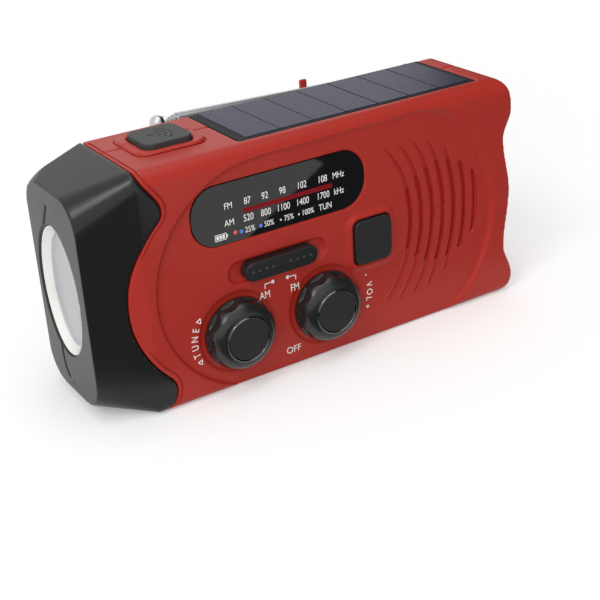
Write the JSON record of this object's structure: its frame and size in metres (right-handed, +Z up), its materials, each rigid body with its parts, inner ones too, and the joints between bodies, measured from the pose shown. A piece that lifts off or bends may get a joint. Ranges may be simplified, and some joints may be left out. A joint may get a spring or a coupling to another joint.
{
  "type": "emergency radio",
  "caption": "Hand-crank emergency radio with a lamp end, solar panel, telescopic antenna, tuning and volume knobs, band slider and a rear crank with a folding grip.",
  "frame": {"origin": "middle of the standing face, in the plane where the front and rear shells meet", "axes": "+X from the lamp end to the socket end, +Y from front to rear, +Z up"},
  "size_m": [0.1284, 0.0498, 0.0653],
  "materials": {
    "red_plastic": "satin moulded ABS with a fine grain",
    "black_plastic": "satin moulded ABS",
    "knob_black": "satin moulded plastic",
    "button_rubber": "matt rubber",
    "dark_plastic": "moulded plastic",
    "cream_plastic": "moulded acetal",
    "lens_clear": "clear polycarbonate",
    "reflector_silver": "vacuum-metallised plastic",
    "led_white": "cast resin",
    "dial_gloss": "polished acrylic with printed scale",
    "solar_dark": "cells under a clear resin cover",
    "board_green": "glass-fibre laminate with solder mask",
    "steel": "plated steel",
    "antenna_chrome": "polished chrome plating",
    "magnet_dark": "sintered ferrite",
    "copper": "enamelled copper wire",
    "bush_brass": "sintered bronze",
    "cell_blue": "shrink sleeve"
  },
  "bodies": {
    "case": {"front_shell": "red_plastic", "rear_shell": "red_plastic", "lamp_cap_front": "black_plastic", "lamp_cap_rear": "black_plastic", "lamp_lens": "lens_clear", "lamp_reflector": "reflector_silver", "lamp_board": "board_green", "lamp_led": "led_white", "dial_window": "dial_gloss", "solar_panel": "solar_dark", "tuning_capacitor": "cream_plastic", "volume_control": "dark_plastic", "band_switch": "steel", "light_switch": "dark_plastic", "alarm_switch": "dark_plastic", "alarm_board": "board_green", "main_board": "board_green", "board_screws": "steel", "speaker_frame": "steel", "speaker_cone": "dark_plastic", "speaker_magnet": "magnet_dark", "battery_cell": "cell_blue", "battery_holder": "dark_plastic", "ferrite_rod": "magnet_dark", "ferrite_coil": "copper", "ferrite_clips": "cream_plastic", "antenna_bracket": "antenna_chrome", "antenna_pin": "antenna_chrome", "crank_bush": "bush_brass", "idler_pin": "steel", "gear_plate": "steel", "gear_plate_screws": "steel", "dynamo_can": "steel", "dynamo_coil": "copper", "charge_board": "board_green", "usb_a_socket": "steel", "micro_usb_socket": "steel", "case_screws": "steel"},
    "tuning": {"tuning_knob": "knob_black", "tuning_spindle": "steel"},
    "volume": {"volume_knob": "knob_black", "volume_spindle": "steel"},
    "band": {"band_slider": "knob_black"},
    "light": {"light_button": "knob_black"},
    "alarm": {"alarm_button": "button_rubber"},
    "antenna_base": {"antenna_tube_1": "antenna_chrome"},
    "antenna_second": {"antenna_tube_2": "antenna_chrome"},
    "antenna_third": {"antenna_tube_3": "antenna_chrome"},
    "antenna_last": {"antenna_tube_4": "antenna_chrome", "antenna_tip": "antenna_chrome"},
    "crank": {"crank_spindle": "steel", "crank_gear": "cream_plastic", "crank_arm": "black_plastic", "crank_screw": "steel", "grip_hinge_pin": "steel"},
    "grip_holder": {"grip_post": "black_plastic"},
    "grip": {"crank_grip": "knob_black"},
    "idler": {"idler_gear": "cream_plastic"},
    "rotor": {"dynamo_rotor": "magnet_dark"}
  },
  "joints": [
    {"name": "tuning_turn", "type": "hinge", "parent": "case", "child": "tuning", "pos_m": [-0.0262, -0.019, 0.0154], "axis": [0, -1, 0], "range_deg": [-90, 90]},
    {"name": "volume_turn", "type": "hinge", "parent": "case", "child": "volume", "pos_m": [0.0004, -0.019, 0.0147], "axis": [0, -1, 0], "range_deg": [-150, 150]},
    {"name": "band_slide", "type": "slide", "parent": "case", "child": "band", "axis": [1, 0, 0], "range_m": [-0.00225, 0.00225]},
    {"name": "light_press", "type": "slide", "parent": "case", "child": "light", "axis": [0, 1, 0], "range_m": [0, 0.0008], "stiffness_N_per_m": 600},
    {"name": "alarm_press", "type": "slide", "parent": "case", "child": "alarm", "axis": [0, 0, -1], "range_m": [0, 0.0008], "stiffness_N_per_m": 600},
    {"name": "antenna_lift", "type": "hinge", "parent": "case", "child": "antenna_base", "pos_m": [0.0555, 0.0149, 0.0586], "axis": [0, 1, 0], "range_deg": [0, 110]},
    {"name": "antenna_draw_2", "type": "slide", "parent": "antenna_base", "child": "antenna_second", "axis": [-0.9993, 0, 0.0384], "range_m": [0, 0.055]},
    {"name": "antenna_draw_3", "type": "slide", "parent": "antenna_second", "child": "antenna_third", "axis": [-0.9993, 0, 0.0384], "range_m": [0, 0.055]},
    {"name": "antenna_draw_4", "type": "slide", "parent": "antenna_third", "child": "antenna_last", "axis": [-0.9993, 0, 0.0384], "range_m": [0, 0.05]},
    {"name": "crank_spin", "type": "hinge", "parent": "case", "child": "crank", "pos_m": [0, 0.0165, 0.0285], "axis": [0, 1, 0], "continuous": true},
    {"name": "grip_fold", "type": "hinge", "parent": "crank", "child": "grip_holder", "pos_m": [0.0212, 0.0209, 0.0285], "axis": [0, 0, -1], "range_deg": [0, 90]},
    {"name": "grip_spin", "type": "hinge", "parent": "grip_holder", "child": "grip", "pos_m": [0.0212, 0.0209, 0.0285], "axis": [-1, 0, 0], "continuous": true},
    {"name": "idler_spin", "type": "hinge", "parent": "case", "child": "idler", "pos_m": [-0.01351, 0.0105, 0.0363], "axis": [0, 1, 0], "continuous": true},
    {"name": "rotor_spin", "type": "hinge", "parent": "case", "child": "rotor", "pos_m": [-0.02606, 0, 0.0352], "axis": [0, 1, 0], "continuous": true}
  ],
  "couplings": [
    {"joint": "idler_spin", "follows": "crank_spin", "ratio": -3.3333},
    {"joint": "rotor_spin", "follows": "crank_spin", "ratio": 10.667}
  ]
}
